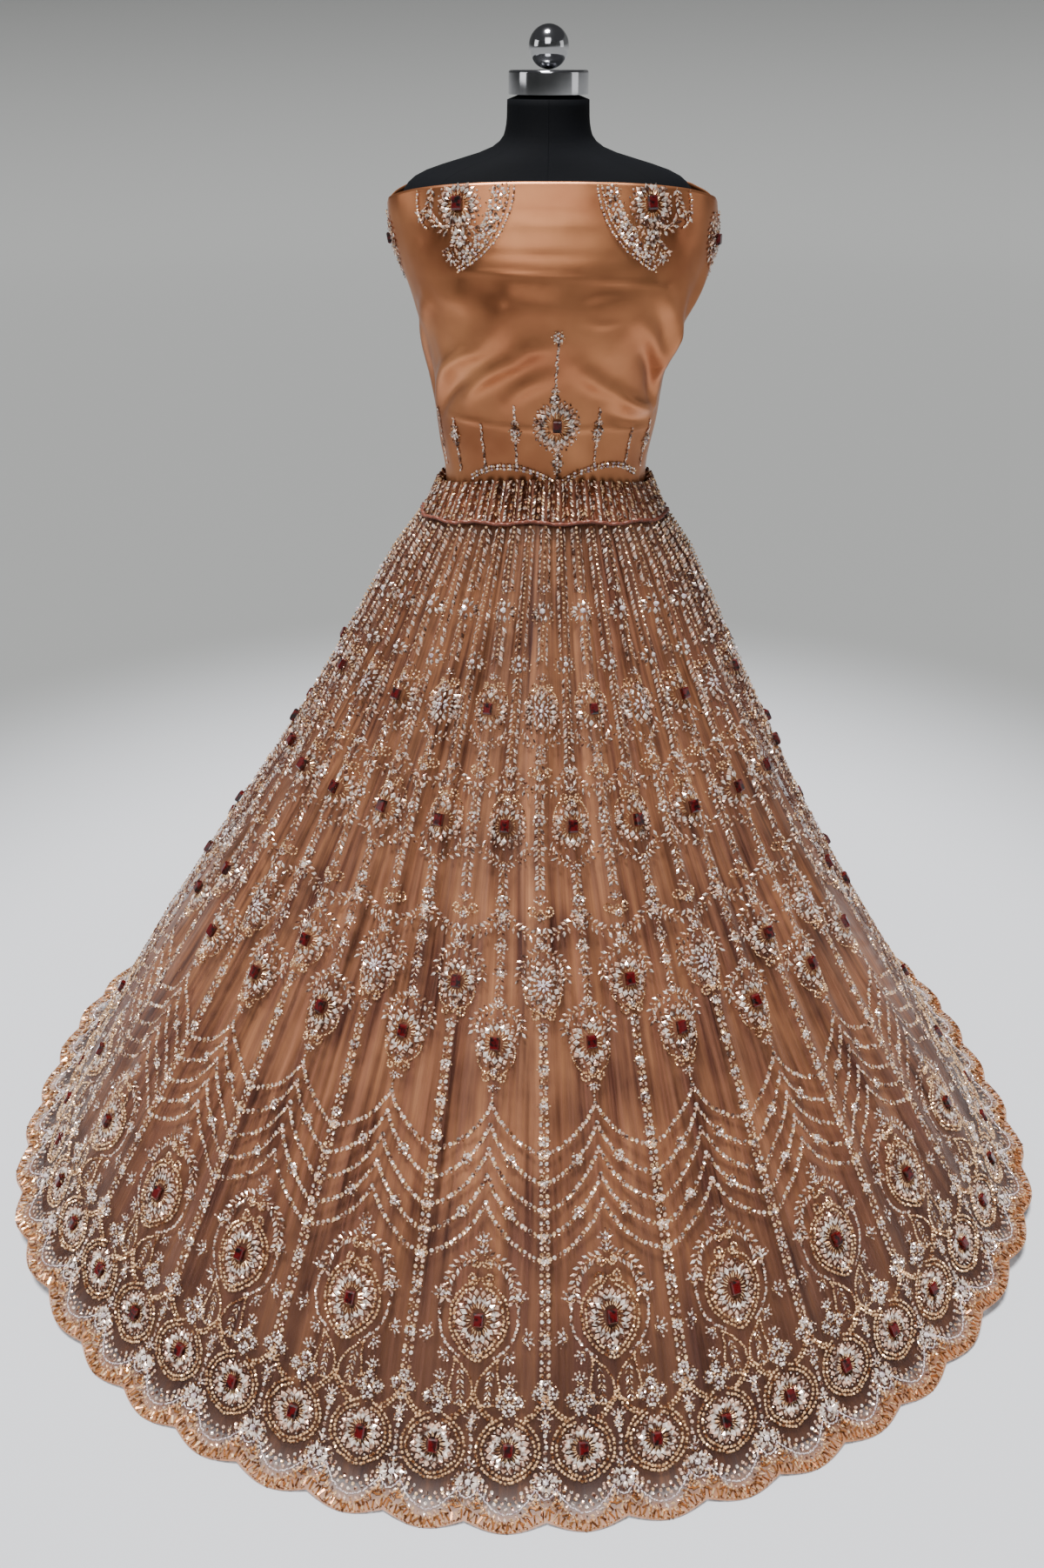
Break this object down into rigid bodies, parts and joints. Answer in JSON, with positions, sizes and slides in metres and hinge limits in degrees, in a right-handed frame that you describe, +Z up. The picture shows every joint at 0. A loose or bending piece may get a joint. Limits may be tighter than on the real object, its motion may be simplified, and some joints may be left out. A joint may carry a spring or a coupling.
{
  "type": "lehenga choli on a limbless dress form",
  "caption": "Beaded net lehenga with a gathered yoke and scalloped hem, and a satin choli length wrapped round a limbless dress form that stands on a round base.",
  "frame": {"origin": "centre of the stand's base on the floor, under the pole", "axes": "+Z up, the front of the skirt faces -Y, the wearer's left is +X"},
  "size_m": [1.505, 1.5045, 1.4882],
  "materials": {
    "embroidered_net": "sheer net worked with beads, sequins and thread",
    "satin": "soft satin with a broad sheen",
    "piping_cord": "satin covered cord",
    "form_fabric": "matt jersey",
    "chrome": "polished",
    "stand_paint": "satin paint"
  },
  "bodies": {
    "root": {"kali_01": "embroidered_net", "kali_02": "embroidered_net", "kali_03": "embroidered_net", "kali_04": "embroidered_net", "kali_05": "embroidered_net", "kali_06": "embroidered_net", "kali_07": "embroidered_net", "kali_08": "embroidered_net", "kali_09": "embroidered_net", "kali_10": "embroidered_net", "kali_11": "embroidered_net", "kali_12": "embroidered_net", "kali_13": "embroidered_net", "kali_14": "embroidered_net", "kali_15": "embroidered_net", "kali_16": "embroidered_net", "kali_17": "embroidered_net", "kali_18": "embroidered_net", "kali_19": "embroidered_net", "kali_20": "embroidered_net", "kali_21": "embroidered_net", "kali_22": "embroidered_net", "kali_23": "embroidered_net", "kali_24": "embroidered_net", "kali_25": "embroidered_net", "kali_26": "embroidered_net", "yoke_front": "embroidered_net", "yoke_back": "embroidered_net", "lining": "satin", "choli_front": "satin", "choli_back": "satin", "waist_piping": "piping_cord", "dress_form": "form_fabric", "neck_cap": "chrome", "neck_ball": "chrome", "stand_pole": "stand_paint", "stand_base": "stand_paint"}
  },
  "joints": []
}
